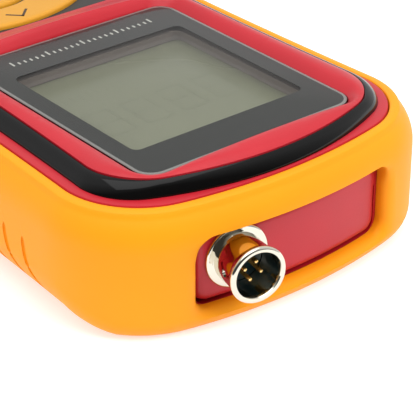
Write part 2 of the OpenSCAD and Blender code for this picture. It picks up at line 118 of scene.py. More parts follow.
def plan(shape, inset=0.0, n_side=56, n_corner=18, n_end=30):
    """Closed plan outline with bowed ends and drawn-in sides, moved in by inset, anticlockwise."""
    hw, r, bow = shape["hw"] - inset, shape["r"] - inset, shape.get("bow", FACE_BOW) - inset
    mid, half = (shape["y0"] + shape["y1"]) / 2, (shape["y1"] - shape["y0"]) / 2 - inset
    cx = hw - r
    lean = math.degrees(math.asin(cx / (bow - r)))
    cy = half - bow + (bow - r) * math.cos(math.radians(lean))
    t = np.linspace(-1, 1, n_side + 1)
    side = np.stack([hw - shape["waist"] * (1 - t * t), cy * t], axis=1)
    corner = arc(cx, cy, r, 0, 90 - lean, n_corner)
    end = arc(0, half - bow, bow, 90 - lean, 90 + lean, n_end)
    other = corner[::-1] * [-1, 1]
    points = np.concatenate([side[:-1], corner[:-1], end[:-1], other[:-1]])
    return np.concatenate([points, -points]) + [0, mid]


def between(a, b, share):
    """Points a share of the way from outline a to outline b; share is a number or one for each point."""
    return a + (b - a) * np.reshape(share, (-1, 1))


def rounded_rect(w, l, r, n, n_side=10, n_end=10):
    """Closed outline of a rounded rectangle round the origin, anticlockwise from the top of its right side."""
    points = []
    cx, cy = w / 2 - r, l / 2 - r
    for k, (sx, sy) in enumerate([(1, 1), (-1, 1), (-1, -1), (1, -1)]):
        a0 = 90 * k
        corner = arc(sx * cx, sy * cy, r, a0, a0 + 90, n)
        points.append(corner)
        nx, ny = [(-1, 1), (-1, -1), (1, -1), (1, 1)][k]
        start, stop = corner[-1], arc(nx * cx, ny * cy, r, a0 + 90, a0 + 90, 0)[0]
        m = n_end if k % 2 == 0 else n_side
        points.append(start + (stop - start) * np.linspace(0, 1, m + 2)[1:-1, None])
    return np.concatenate(points)


# Steps in each corner, side and end of the display's outlines.
FINE = (10, 24, 20)


def at_z(outline, z):
    """The outline as 3-D points at height z, a number or one for each point."""
    return np.column_stack([outline, np.broadcast_to(z, len(outline))])


class Builder:
    """Collects loops and patches into one mesh."""

    def __init__(self):
        self.points, self.faces = [], []

    def add(self, points):
        start = len(self.points)
        self.points.extend(map(tuple, np.asarray(points, float)))
        return list(range(start, len(self.points)))

    def loft(self, loops, close=False):
        """Quads between neighbouring loops of the same count; close joins the last loop to the first."""
        rows = [self.add(loop) for loop in loops]
        if close:
            rows.append(rows[0])
        for a, b in zip(rows, rows[1:]):
            n = len(a)
            for i in range(n):
                j = (i + 1) % n
                self.faces.append((a[i], a[j], b[j], b[i]))

    def cap(self, loop, flip=False):
        ids = self.add(loop)
        self.faces.append(tuple(reversed(ids)) if flip else tuple(ids))

    def stack(self, *steps, close=False):
        """Quads between flat outlines, given as (outline, z) steps."""
        self.loft([at_z(outline, z) for outline, z in steps], close)

    def solid(self, loops):
        """A closed body through loops, capped at both ends."""
        self.cap(loops[0], flip=True)
        self.loft(loops)
        self.cap(loops[-1])

    def patch(self, loops, inner, height):
        """Triangles inside loops[0] and outside the other loops, with inner points; height(xy) lifts them."""
        flat, edges = [], []
        for loop in loops:
            start = len(flat)
            flat.extend(loop)
            edges += [(start + i, start + (i + 1) % len(loop)) for i in range(len(loop))]
        flat.extend(inner)
        out = delaunay_2d_cdt([Vector(p) for p in flat], edges, [], 0, 1e-5)
        xy = np.array([tuple(p) for p in out[0]])
        start = self.add(np.column_stack([xy, height(xy)]))[0]
        for tri in out[2]:
            centre = xy[list(tri)].mean(axis=0)
            if contains(loops[0], centre) and not any(contains(loop, centre) for loop in loops[1:]):
                self.faces.append(tuple(start + i for i in tri))

    def build(self, name, material, angle=35.0, weld=1e-4):
        """Makes the object: welds points closer than weld, and creases edges sharper than angle."""
        mesh = bpy.data.meshes.new(name)
        bm = bmesh.new()
        vs = [bm.verts.new(Vector(p) * MM) for p in self.points]
        for face in self.faces:
            corners = [vs[i] for i in dict.fromkeys(face)]
            if len(corners) > 2 and bm.faces.get(corners) is None:
                bm.faces.new(corners)
        bmesh.ops.remove_doubles(bm, verts=bm.verts, dist=weld * MM)
        bmesh.ops.dissolve_degenerate(bm, edges=bm.edges, dist=1e-5 * MM)
        bmesh.ops.recalc_face_normals(bm, faces=bm.faces)
        bm.to_mesh(mesh)
        bm.free()
        obj = bpy.data.objects.new(name, mesh)
        bpy.context.collection.objects.link(obj)
        mesh.materials.append(material)
        shade(obj, angle)
        return obj


def contains(loop, p):
    """True if point p is inside the closed loop."""
    x, y = loop[:, 0], loop[:, 1]
    x2, y2 = np.roll(x, -1), np.roll(y, -1)
    crosses = (y > p[1]) != (y2 > p[1])
    with np.errstate(divide="ignore", invalid="ignore"):
        at = x + (p[1] - y) * (x2 - x) / (y2 - y)
    return bool(np.sum(crosses & (p[0] < at)) % 2)


def distance(points, loop):
    """Distance from each point to the nearest place on the closed loop."""
    best = np.full(len(points), 1e9)
    for s, v in zip(loop, np.roll(loop, -1, axis=0) - loop):
        t = np.clip(((points - s) @ v) / max(v @ v, 1e-12), 0, 1)
        best = np.minimum(best, np.linalg.norm(points - s - t[:, None] * v, axis=1))
    return best


def shade(obj, angle):
    obj.data.shade_smooth()
    obj.data.set_sharp_from_angle(angle=math.radians(angle))


def dress(obj, body, slot, *nodes):
    """The piece moves with body and stands for the CAD nodes; slot is not used."""
    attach(obj, body)
    if nodes:
        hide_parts(*nodes)


def cut(obj, *cutters):
    """Takes the cutters away from obj and applies the result."""
    for cutter in cutters:
        mod = obj.modifiers.new("cut", "BOOLEAN")
        mod.object, mod.operation, mod.solver = cutter, "DIFFERENCE", "EXACT"
    apply_modifiers(obj)
    for cutter in cutters:
        bpy.data.objects.remove(cutter)


def apply_modifiers(obj):
    graph = bpy.context.evaluated_depsgraph_get()
    mesh = bpy.data.meshes.new_from_object(obj.evaluated_get(graph))
    obj.modifiers.clear()
    obj.data = mesh


def tube(points, radii, sides=10):
    """Loops of a round tube through points, for loft()."""
    points = np.asarray(points, float)
    ahead = np.gradient(points, axis=0)
    loops = []
    for p, v, r in zip(points, ahead, radii):
        v = v / np.linalg.norm(v)
        u = np.cross(v, [0, 0, 1] if abs(v[2]) < 0.9 else [1, 0, 0])
        u /= np.linalg.norm(u)
        w = np.cross(v, u)
        a = np.linspace(0, 2 * np.pi, sides, endpoint=False)
        loops.append(p + r * (np.outer(np.cos(a), u) + np.outer(np.sin(a), w)))
    return loops


def revolve(profile, sides, place):
    """Loops of a solid of revolution: profile is (radius, height) pairs, place a matrix in millimetres."""
    a = np.linspace(0, 2 * np.pi, sides, endpoint=False)
    m = np.array(place)
    loops = []
    for r, h in profile:
        local = np.column_stack([r * np.cos(a), r * np.sin(a), np.full(sides, h)])
        loops.append(local @ m[:3, :3].T + m[:3, 3])
    return loops


# ---- materials ----

def material(name, color, roughness, **sockets):
    """A new Principled material; sockets are its other inputs, with _ for a space."""
    m = bpy.data.materials.new(name)
    m.use_nodes = True
    p = m.node_tree.nodes["Principled BSDF"]
    p.inputs["Base Color"].default_value = (*color, 1)
    p.inputs["Roughness"].default_value = roughness
    for key, value in sockets.items():
        p.inputs[key.replace("_", " ")].default_value = value
    return m


def add_node(m, kind, **settings):
    """A new shader node; settings are its inputs or its own options."""
    node = m.node_tree.nodes.new(kind)
    for key, value in settings.items():
        if key in node.inputs:
            node.inputs[key].default_value = value
        else:
            setattr(node, key, value)
    return node


def wire_up(m, *pairs):
    for a, b in pairs:
        m.node_tree.links.new(a, b)


def grained(m, scale, depth, rough=0.06, tint=0.04):
    """Adds moulded grain to a Principled material: bump, and slight changes of roughness and colour."""
    p = m.node_tree.nodes["Principled BSDF"]
    where = add_node(m, "ShaderNodeTexCoord")
    fine = add_node(m, "ShaderNodeTexNoise", Scale=scale, Detail=3.0)
    broad = add_node(m, "ShaderNodeTexNoise", Scale=scale / 40, Detail=2.0)
    bump = add_node(m, "ShaderNodeBump", Strength=0.5, Distance=depth)
    wire_up(m, (where.outputs["Object"], fine.inputs["Vector"]),
            (where.outputs["Object"], broad.inputs["Vector"]),
            (fine.outputs["Fac"], bump.inputs["Height"]), (bump.outputs["Normal"], p.inputs["Normal"]))
    base = p.inputs["Roughness"].default_value
    span = add_node(m, "ShaderNodeMapRange")
    span.inputs["To Min"].default_value = max(0.02, base - rough)
    span.inputs["To Max"].default_value = base + rough
    wire_up(m, (broad.outputs["Fac"], span.inputs["Value"]), (span.outputs["Result"], p.inputs["Roughness"]))
    color = np.array(p.inputs["Base Color"].default_value[:3])
    ramp = add_node(m, "ShaderNodeValToRGB")
    ramp.color_ramp.elements[0].position = 0.35
    ramp.color_ramp.elements[1].position = 0.65
    ramp.color_ramp.elements[0].color = (*np.clip(color * (1 - tint), 0, 1), 1)
    ramp.color_ramp.elements[1].color = (*np.clip(color * (1 + tint), 0, 1), 1)
    wire_up(m, (broad.outputs["Fac"], ramp.inputs["Fac"]), (ramp.outputs["Color"], p.inputs["Base Color"]))
    return m


def brushed(m, scale, depth):
    """Fine turned lines for metal."""
    p = m.node_tree.nodes["Principled BSDF"]
    where = add_node(m, "ShaderNodeTexCoord")
    noise = add_node(m, "ShaderNodeTexNoise", Scale=scale, Detail=4.0)
    bump = add_node(m, "ShaderNodeBump", Strength=0.25, Distance=depth)
    span = add_node(m, "ShaderNodeMapRange")
    base = p.inputs["Roughness"].default_value
    span.inputs["To Min"].default_value = base * 0.7
    span.inputs["To Max"].default_value = base * 1.4
    wire_up(m, (where.outputs["Object"], noise.inputs["Vector"]),
            (noise.outputs["Fac"], bump.inputs["Height"]), (bump.outputs["Normal"], p.inputs["Normal"]),
            (noise.outputs["Fac"], span.inputs["Value"]), (span.outputs["Result"], p.inputs["Roughness"]))
    return m


def clear_lens():
    """Clear acrylic that doesn't bend light: see-through, with more gloss where it is seen edge-on."""
    m = bpy.data.materials.new("clear_lens")
    m.use_nodes = True
    nodes = m.node_tree.nodes
    nodes.remove(nodes["Principled BSDF"])
    through = add_node(m, "ShaderNodeBsdfTransparent", Color=(0.93, 0.94, 0.93, 1))
    gloss = add_node(m, "ShaderNodeBsdfGlossy", Roughness=0.03)
    edge_on = add_node(m, "ShaderNodeLayerWeight", Blend=0.5)
    power = add_node(m, "ShaderNodeMath", operation="POWER")
    power.inputs[1].default_value = 5.0
    share = add_node(m, "ShaderNodeMapRange")
    share.inputs["To Min"].default_value = 0.012
    share.inputs["To Max"].default_value = 0.6
    mix = add_node(m, "ShaderNodeMixShader")
    wire_up(m, (edge_on.outputs["Facing"], power.inputs[0]), (power.outputs[0], share.inputs["Value"]),
            (share.outputs["Result"], mix.inputs[0]), (through.outputs[0], mix.inputs[1]),
            (gloss.outputs[0], mix.inputs[2]), (mix.outputs[0], nodes["Material Output"].inputs["Surface"]))
    return m


RUBBER = grained(material("boot_rubber", (0.88, 0.305, 0.006), 0.5, Specular_IOR_Level=0.22),
                 1400.0, 0.00004, tint=0.02)
CASE = grained(material("case_plastic", (0.46, 0.012, 0.022), 0.38, Specular_IOR_Level=0.4), 2600.0, 0.00004)
GLOSS_BLACK = grained(material("gloss_black", (0.003, 0.003, 0.003), 0.07, Specular_IOR_Level=0.22),
                      900.0, 0.000004, rough=0.02)
# Black of the lens's print; it also serves as the painted shadow at the lens's side.
PRINT_AND_PAINTED_SHADE = grained(material("lens_print", (0.010, 0.010, 0.009), 0.4), 600.0, 0.000001, rough=0.02, tint=0.02)
PALE_INK = grained(material("pale_ink", (0.42, 0.42, 0.38), 0.5), 3000.0, 0.00001)
DARK_INK = grained(material("dark_ink", (0.05, 0.025, 0.01), 0.5), 3000.0, 0.00001)
DISPLAY = grained(material("display_film", (0.18, 0.18, 0.122), 0.28), 500.0, 0.000006, tint=0.05)
KEY = grained(material("key_plastic", (0.62, 0.29, 0.02), 0.42, Specular_IOR_Level=0.35), 1800.0, 0.00004)
DARK = grained(material("dark_plastic", (0.022, 0.021, 0.018), 0.5), 2400.0, 0.00005)
CHROME = brushed(material("chrome", (0.70, 0.66, 0.56), 0.07, Metallic=1.0), 900.0, 0.00001)
STEEL = brushed(material("steel", (0.56, 0.55, 0.52), 0.28, Metallic=1.0), 1500.0, 0.00002)
GOLD = brushed(material("gold_plate", (0.95, 0.66, 0.26), 0.16, Metallic=1.0), 1500.0, 0.00001)
INSERT = grained(material("insert_plastic", (0.004, 0.028, 0.042), 0.22), 2000.0, 0.00002)
SILICONE = grained(material("silicone", (0.25, 0.25, 0.25), 0.6), 1500.0, 0.00004)
# Grey for the band on the lens's edge: a painted reflection of its clear chamfer.
LENS_EDGE_PAINTED_REFLECTION = grained(material("lens_edge", (0.2, 0.195, 0.185), 0.3), 2000.0, 0.00001)
FOAM = grained(material("grey_foam", (0.2, 0.165, 0.155), 0.8), 1500.0, 0.00006)
SOFT_BLACK = grained(material("soft_black", (0.02, 0.02, 0.02), 0.8), 1500.0, 0.0001)
WHITE = grained(material("white_plastic", (0.78, 0.78, 0.74), 0.45), 2000.0, 0.00003)
BOARD = grained(material("board_green", (0.02, 0.16, 0.05), 0.3), 1200.0, 0.00003, tint=0.12)
CERAMIC = grained(material("chip_ceramic", (0.36, 0.27, 0.16), 0.5), 2500.0, 0.00004)
JACKET = grained(material("cell_jacket", (0.02, 0.02, 0.025), 0.25), 1500.0, 0.00001)
WIRE = grained(material("wire_cover", (0.55, 0.03, 0.02), 0.5), 2500.0, 0.00002)
LABEL = brushed(material("label_foil", (0.68, 0.68, 0.66), 0.35, Metallic=0.9), 2200.0, 0.00001)
SEGMENT = grained(material("segment", (0.17, 0.17, 0.115), 0.3), 3000.0, 0.00001)
FLOOR = grained(material("floor", (0.62, 0.62, 0.62), 0.9, Emission_Color=(1, 1, 1, 1), Emission_Strength=0.5),
                30.0, 0.0001, tint=0.005)
LENS = clear_lens()


# ---- camera ----

EYE = (0.1960, 0.2967, 0.1828)
EYE_AZIMUTH = math.radians(140.86)
EYE_ELEVATION = math.radians(29.54)
FOCAL_LENGTH = 159.8


def camera():
    """The photograph's view: its direction and distance, with the principal point at the middle."""
    right = Vector((math.cos(EYE_AZIMUTH), math.sin(EYE_AZIMUTH), 0))
    back = Vector((math.sin(EYE_AZIMUTH) * math.cos(EYE_ELEVATION),
                   -math.cos(EYE_AZIMUTH) * math.cos(EYE_ELEVATION), math.sin(EYE_ELEVATION)))
    up = back.cross(right)
    data = bpy.data.cameras.new("camera")
    data.lens = FOCAL_LENGTH
    data.sensor_width = 36
    data.clip_start = 0.01
    obj = bpy.data.objects.new("camera", data)
    obj.matrix_world = Matrix((right, up, back)).transposed().to_4x4()
    obj.location = EYE
    bpy.context.collection.objects.link(obj)
    bpy.context.scene.camera = obj


# ---- boot ----

SIDE_FOOT = 10.0
END_FOOT = 4.6
SHOULDER_R = 9.5
SHOULDER_Z = 17.9
WINDOW_W = 45.4
WINDOW_H = 15.5
WINDOW_Z = 12.15
WINDOW_R = 3.0
BACK_W = 54.0
BACK_L = 127.0
BACK_MID = -18.5
BACK_R = 8.0
WALL_IN = WALL - 0.03
SOLE_IN = WALL - 0.05
LIP_UNDER = 21.26
FLARE = 2.3
GROOVES = 10
GROOVE_Y = 52.5
GROOVE_PITCH = 6.4
GROOVE_TOP = 14.4
GROOVE_DROP = 11.6
GROOVE_LEAN = 5.2
GROOVE_R = 0.62


def end_y(x, inset=0.0):
    """Y of the body's bowed end at x, moved in by inset."""
    bow = BODY["bow"] - inset
    return BODY["y1"] - inset - bow + np.sqrt(bow * bow - x * x)


def boot_loops():
    """Loops from the foot of the boot up its outside, over the lip and down its inside to the sole."""
    outer, inner, mouth = plan(BODY), plan(BODY, 12.0), plan(MOUTH)
    along = np.gradient(outer, axis=0)
    facing = np.abs(along[:, 0]) / np.linalg.norm(along, axis=1)
    foot = SIDE_FOOT + (END_FOOT - SIDE_FOOT) * np.clip(1.8 * facing - 0.1, 0, 1)

    def loop(inset, z):
        return at_z(between(outer, inner, np.broadcast_to(inset, len(outer)) / 12), z)

    loops = [loop(foot * (1 + math.cos(a)), foot * (1 + math.sin(a)))
             for a in np.radians(np.linspace(270, 180, 12))]
    loops += [loop(i, z) for i, z in arc(SHOULDER_R, SHOULDER_Z, SHOULDER_R, 180, 136, 9)]
    crease = plan(BODY, 2.95)
    loops += [at_z(between(crease, mouth, s), z) for s, z in
              [(-0.07, LIP_Z - 0.36), (0.04, LIP_Z - 0.24), (0.2, LIP_Z - 0.14), (0.45, LIP_Z - 0.06),
               (0.7, LIP_Z - 0.01), (0.86, LIP_Z - 0.02), (0.95, LIP_Z - 0.1), (1.0, LIP_Z - 0.32)]]
    loops += [at_z(mouth, LIP_UNDER), loop(WALL_IN, LIP_UNDER - 0.02), loop(WALL_IN, foot)]
    hollow = np.maximum(foot - SOLE_IN, 0.5)
    loops += [loop(foot + hollow * math.cos(a), foot + hollow * math.sin(a))
              for a in np.radians(np.linspace(180, 270, 8))[1:]]
    return loops


def back_opening(grow):
    """The outline of the opening in the boot's back, in step with plan()'s points."""
    outer = plan(BODY, 12)
    mid = (BODY["y0"] + BODY["y1"]) / 2
    angle = np.arctan2((outer[:, 1] - mid) / (BACK_L / BACK_W), outer[:, 0])
    w, l, r = BACK_W / 2 + grow, BACK_L / 2 + grow, BACK_R + grow
    points = []
    for a in angle:
        d = np.array([math.cos(a), math.sin(a) * BACK_L / BACK_W])
        lo, hi = 0.0, 200.0
        for _ in range(40):
            t = (lo + hi) / 2
            q = np.maximum(np.abs(d * t) - [w - r, l - r], 0)
            inside = np.linalg.norm(q) < r and abs(d[0] * t) < w and abs(d[1] * t) < l
            lo, hi = (t, hi) if inside else (lo, t)
        points.append(d * lo)
    return np.array(points) + [0, BACK_MID]


def end_window():
    """Cutter for the boot's end window: its mouth flares out at the sides and foot."""
    b = Builder()
    base = rounded_rect(WINDOW_W, WINDOW_H, WINDOW_R, 8, 12, 24)
    out = base / np.linalg.norm(base, axis=1)[:, None]
    spread = np.clip((WINDOW_H / 2 - base[:, 1]) / 5.0, 0.12, 1.0) * FLARE
    loops = []
    for s in [-9, -FLARE, -1.9, -1.4, -0.9, -0.5, -0.2, 0.0, 4.0]:
        depth = np.clip((s + spread) / spread, 0, 1)
        grow = spread * (1 - np.sqrt(1 - depth * depth))
        ring = base + np.sign(base) * grow[:, None] * np.minimum(1, np.abs(out) * [1.6, 4])
        x = ring[:, 0]
        loops.append(np.column_stack([x, end_y(x) + s, WINDOW_Z + ring[:, 1]]))
    b.cap(loops[0])
    b.loft(loops)
    b.cap(loops[-1], flip=True)
    return b.build("window_cutter", RUBBER)


def groove(side, y):
    """Cutter for one thin grip groove, down the boot's flank and under its edge."""
    t = np.linspace(0, 1, 22)
    z = GROOVE_TOP - GROOVE_DROP * t
    below = np.maximum(SIDE_FOOT - z, 0)
    inset = SIDE_FOOT - np.sqrt(SIDE_FOOT ** 2 - below ** 2)
    along = y + GROOVE_LEAN * t ** 2.2
    half = (BODY["y1"] - BODY["y0"]) / 2 - CORNER
    mid = (BODY["y1"] + BODY["y0"]) / 2
    wide = BODY["hw"] - BODY["waist"] * np.clip(1 - ((along - mid) / half) ** 2, 0, 1)
    taper = np.clip(np.minimum(t, 1 - t) * 9, 0.05, 1)
    b = Builder()
    path = np.column_stack([side * (wide - inset + 0.28 - 0.28 * taper), along, z])
    b.solid(tube(path, GROOVE_R * taper))
    return b.build("groove_cutter", RUBBER)


def boot():
    """Rubber boot: one closed skin, cut by the end window and the grip grooves."""
    b = Builder()
    loops = boot_loops()
    hole = [(0, SOLE_IN), (0, 0.8), (0.25, 0.22), (0.8, 0.0)]
    b.loft(loops + [at_z(back_opening(grow), z) for grow, z in hole], close=True)
    obj = b.build("boot_skin", RUBBER, angle=50)
    cutters = [end_window()]
    cutters += [groove(s, GROOVE_Y - GROOVE_PITCH * i) for s in (1, -1) for i in range(GROOVES)]
    cut(obj, *cutters)
    shade(obj, 50)
    dress(obj, "meter", "boot_rubber", "boot")


# ---- case ----

FACE_SIDE_Z = 28.6
FACE_LIFT = 0.25
CROWN_RISE = 1.8
END_FALL = 1.4
END_REACH = 12.0
DISH_REACH = 12.0
DISH_SIDE_REACH = 3.4
LENS_STAND = 0.55
LENS_REACH = 3.0
RIM_ROLL = 0.45
RIM_REACH = 2.0
SHELF_Z = 26.2
UNDER_Z = 25.4


def crown(xy):
    """How far the crowned face stands above its sides: it falls away at both ends."""
    mid, half = (FACE["y0"] + FACE["y1"]) / 2, (FACE["y1"] - FACE["y0"]) / 2
    past = np.maximum(np.abs(xy[:, 1] - mid) - half + END_REACH, 0) / END_REACH
    return CROWN_RISE * (1 - (xy[:, 0] / FACE["hw"]) ** 2) - END_FALL * past ** 2


LENS_HOLE = rounded_rect(LENS_W + 0.5, LENS_L + 0.5, 4.2, *FINE) + [0, LENS_MID]
PAD_HOLE = rounded_rect(OPENING_W, OPENING_L, 7.0, 10, 20, 20) + [0, PAD_MID]
FACE_EDGE = plan(FACE)


def face_height(xy):
    """Height of the crowned face: it dips to the lens and to the keypad, and rolls off at its rim."""
    z = FACE_SIDE_Z + FACE_LIFT + crown(xy)
    to_lens = distance(xy, LENS_HOLE)
    to_rim = distance(xy, FACE_EDGE)
    to_pad = distance(xy, PAD_HOLE)
    beside = np.clip((np.abs(xy[:, 0]) - 20) / 6, 0, 1)
    t = np.clip(to_pad / (DISH_REACH + (DISH_SIDE_REACH - DISH_REACH) * beside), 0, 1)
    pad_low = KEY_TOP + 0.1
    z = pad_low + (z - pad_low) * t * t * (3 - 2 * t)
    t = np.clip(to_lens / LENS_REACH, 0, 1)
    lens_low = LENS_TOP - LENS_STAND
    z = lens_low + (z - lens_low) * np.sin(t * np.pi / 2)
    z -= RIM_ROLL * np.clip(1 - to_rim / RIM_REACH, 0, 1) ** 2
    return z - 0.4 * np.clip(1 - to_pad / 0.7, 0, 1) ** 2


def inside_points(step, keep):
    """Grid points on the face at least keep away from every edge."""
    xs = np.arange(-FACE["hw"], FACE["hw"] + step, step)
    ys = np.arange(FACE["y0"], FACE["y1"] + step, step)
    grid = np.array([(x + (0.5 * step if j % 2 else 0), y) for j, y in enumerate(ys) for x in xs])
    edges = [FACE_EDGE, LENS_HOLE, PAD_HOLE]
    far = np.min([distance(grid, e) for e in edges], axis=0) > keep
    ok = [f and contains(FACE_EDGE, p) and not contains(LENS_HOLE, p) and not contains(PAD_HOLE, p)
          for f, p in zip(far, grid)]
    return grid[np.array(ok)]


def offset_loop(loop, d):
    """The closed anticlockwise loop moved out by d."""
    v = np.roll(loop, -1, axis=0) - np.roll(loop, 1, axis=0)
    n = np.column_stack([v[:, 1], -v[:, 0]]) / np.linalg.norm(v, axis=1)[:, None]
    return loop + d * n


def front_shell():
    """Top half of the case: the face, its two openings, the ledge for the ring and the end panel."""
    b = Builder()
    inner = np.concatenate([inside_points(1.5, 2.9)]
                           + [offset_loop(LENS_HOLE, d) for d in (0.4, 0.9, 1.5, 2.2)]
                           + [offset_loop(PAD_HOLE, d) for d in (0.3, 0.7, 1.2, 2.0)]
                           + [offset_loop(FACE_EDGE, -d) for d in (0.4, 0.9, 1.5, 2.2)])
    b.patch([FACE_EDGE, LENS_HOLE, PAD_HOLE], inner, face_height)
    rim = face_height(FACE_EDGE)
    lens_edge = face_height(LENS_HOLE)
    pad_edge = face_height(PAD_HOLE)
    view = rounded_rect(VIEW_W + 2.2, VIEW_L + 2.2, 2.5, *FINE) + [0, VIEW_MID]
    b.stack((LENS_HOLE, lens_edge), (LENS_HOLE, lens_edge - 0.3), (LENS_HOLE, SHELF_Z), (view, SHELF_Z),
            (view, SHELF_Z - 0.25), (view, UNDER_Z - 0.7))
    b.stack((PAD_HOLE, pad_edge), (PAD_HOLE, pad_edge - 0.5), (PAD_HOLE, UNDER_Z))
    core = offset_loop(FACE_EDGE, -1.7)
    b.stack((FACE_EDGE, rim), (FACE_EDGE, rim - 0.6), (FACE_EDGE, LEDGE_Z), (plan(RING), LEDGE_Z),
            (plan(LEDGE, 0.5), LEDGE_Z), (plan(LEDGE, 0.15), LEDGE_Z - 0.1), (plan(LEDGE), LEDGE_Z - 0.4),
            (plan(LEDGE), 21.3), (plan(BODY, 4.2), 21.15), (plan(BODY, 3.6), 20.3), (plan(BODY, 3.25), 18.6),
            (plan(BODY, 3.25), 14.0), (plan(BODY, 5.3), 14.0), (plan(BODY, 5.3), 19.2),
            (plan(LEDGE, 2.3), 19.4), (plan(LEDGE, 2.3), 22.3), (core, 22.3), (core, UNDER_Z))
    b.patch([core, view, PAD_HOLE], np.zeros((0, 2)),
            lambda xy: UNDER_Z + np.where(distance(xy, view) < 1e-4, -0.7, 0))
    end_panel(b)
    obj = b.build("case_top", CASE, angle=38)
    dress(obj, "meter", "case_plastic", "front_shell")


PANEL_W = 43.6
PANEL_H = 13.9
PANEL_Z = 12.05
PANEL_DEPTH = 2.6
PANEL_BACK = 4.4


def end_panel(b):
    """The raised panel that fills the boot's end window, with a rolled edge."""
    def loop(inset, shrink):
        base = rounded_rect(PANEL_W - 2 * shrink, PANEL_H - 2 * shrink, 2.4 - shrink * 0.5, 8, 10, 30)
        return np.column_stack([base[:, 0], end_y(base[:, 0], inset), PANEL_Z + base[:, 1]])

    steps = [(1.7, 0), (1.1, 0.05), (0.6, 0.25), (0.25, 0.6), (0.05, 1.1), (0, 1.6)]
    b.loft([loop(PANEL_BACK, 0)] + [loop(PANEL_DEPTH + sink, shrink) for sink, shrink in steps])
    flat = rounded_rect(PANEL_W - 3.2, PANEL_H - 3.2, 1.6, 8, 10, 30)
    grid = np.array([(x, z) for x in np.arange(-19, 19.1, 1.9) for z in np.arange(-3.8, 3.9, 1.9)])
    start = len(b.points)
    b.patch([flat], grid, lambda xy: np.zeros(len(xy)))
    for i in range(start, len(b.points)):
        x, z, _ = b.points[i]
        b.points[i] = (x, float(end_y(x, PANEL_DEPTH)), PANEL_Z + z)
    b.cap(loop(PANEL_BACK, 0), flip=True)


def trim_ring():
    """Black gloss ring, rolled from the face's edge down to the ledge and crowned with the face."""
    profile = [(0.02, 0.0), (0.02, 0.78), (0.06, 0.85), (0.13, 0.88), (0.22, 0.87), (0.35, 0.83), (0.48, 0.76),
               (0.6, 0.67), (0.7, 0.57), (0.79, 0.45), (0.87, 0.32), (0.93, 0.2), (0.97, 0.1), (0.985, 0.03),
               (0.985, 0.0)]
    b = Builder()
    loops = []
    for share, up in profile:
        shape = {k: FACE[k] + (RING[k] - FACE[k]) * share for k in ("hw", "y0", "y1", "r", "waist")}
        ring = plan(shape)
        loops.append(at_z(ring, LEDGE_Z + 0.03 + up * (FACE_SIDE_Z - LEDGE_Z + crown(ring))))
    b.loft(loops, close=True)
    obj = b.build("trim_ring_gloss", GLOSS_BLACK, angle=24)
    dress(obj, "meter", "black_gloss", "trim_ring")


# ---- display ----

def plate(b, outline_at, z0, z1, edge):
    """A closed plate: outline_at(shrink) gives its outline, and its top edge is rounded by edge."""
    loops = [at_z(outline_at(0), z0), at_z(outline_at(0), z1 - edge)]
    for a in (22, 45, 68, 90):
        s = math.radians(a)
        loops.append(at_z(outline_at(edge * (1 - math.cos(s))), z1 - edge * (1 - math.sin(s))))
    b.solid(loops)


def lens():
    b = Builder()
    plate(b, lambda s: rounded_rect(LENS_W - 2 * s, LENS_L - 2 * s, 4 - s, 10) + [0, LENS_MID],
          float(LENS_LOW[2]), LENS_TOP, 0.7)
    obj = b.build("display_lens", LENS, angle=20)
    dress(obj, "meter", "clear_plastic", "lens")


PRINT_TOP = LENS_TOP - 0.3
MARKS = 25
MARK_PITCH = 34 / 24
TALL_EVERY = 6


def lens_print():
    """Black border just under the lens's top, a pale band on its edge that is a painted reflection of its
    clear chamfer, a black band at its side that is a painted shadow of the gap round the lens, and pale scale
    marks.
    """
    top = PRINT_TOP
    outer = rounded_rect(LENS_W - 1.3, LENS_L - 1.3, 3.4, *FINE) + [0, LENS_MID]
    edge = rounded_rect(LENS_W - 0.1, LENS_L - 0.1, 3.95, *FINE) + [0, LENS_MID]
    view = rounded_rect(VIEW_W, VIEW_L, 1.6, *FINE) + [0, VIEW_MID]
    border, rim, side, marks = Builder(), Builder(), Builder(), Builder()
    border.stack((outer, top - 0.15), (outer, top), (view, top), (view, top - 0.15), close=True)
    dress(border.build("lens_border", PRINT_AND_PAINTED_SHADE), "meter", "print_black", "lens_print")
    # The pale band on the lens's edge is a painted reflection of its clear chamfer.
    rim.stack((edge, top - 0.2), (edge, top - 0.05), (outer, top), (outer, top - 0.2), close=True)
    dress(rim.build("lens_edge_painted_reflection", LENS_EDGE_PAINTED_REFLECTION, 40), "meter", "print_black")
    # The black band at the lens's side is a painted shadow of the gap between the lens and the frame.
    side.stack((edge, top - 0.9), (edge, top - 0.21), (outer, top - 0.21), (outer, top - 0.9), close=True)
    dress(side.build("lens_side_painted_shadow", PRINT_AND_PAINTED_SHADE, 40), "meter", "print_black")
    line_y = (LENS_LOW[1] + VIEW_MID - VIEW_L / 2) / 2 + 0.95
    for i in range(MARKS):
        tall = 1.9 if i % TALL_EVERY == 0 else 1.1
        bar = rounded_rect(0.42, tall, 0.15, 3, 0, 0) + [(i - (MARKS - 1) / 2) * MARK_PITCH, line_y - tall / 2]
        marks.solid([at_z(bar, top - 0.01), at_z(bar, top + 0.02)])
    dress(marks.build("scale_marks", PALE_INK), "meter", "print_black")


# ---- keypad ----

# The outer keys fill the space between the middle key's circle and the arcs of the cluster's outline.
KEY_R = 13.0
KEY_GAP = 1.3
KEY_SOFT = 1.6
KEY_FOOT = 22.95
KEY_DOME = 0.07
KEY_MID = 18.4
KEY_HEART = 18.6
KEY_POINTS = 112
CLUSTER_R = 31.6
CLUSTER_DROP = 8.6
CLUSTER_SIDE_R = 34.0
CLUSTER_SHIFT = 9.5
TURNS = {"key_top": 0, "key_left": 90, "key_bottom": 180, "key_right": 270}


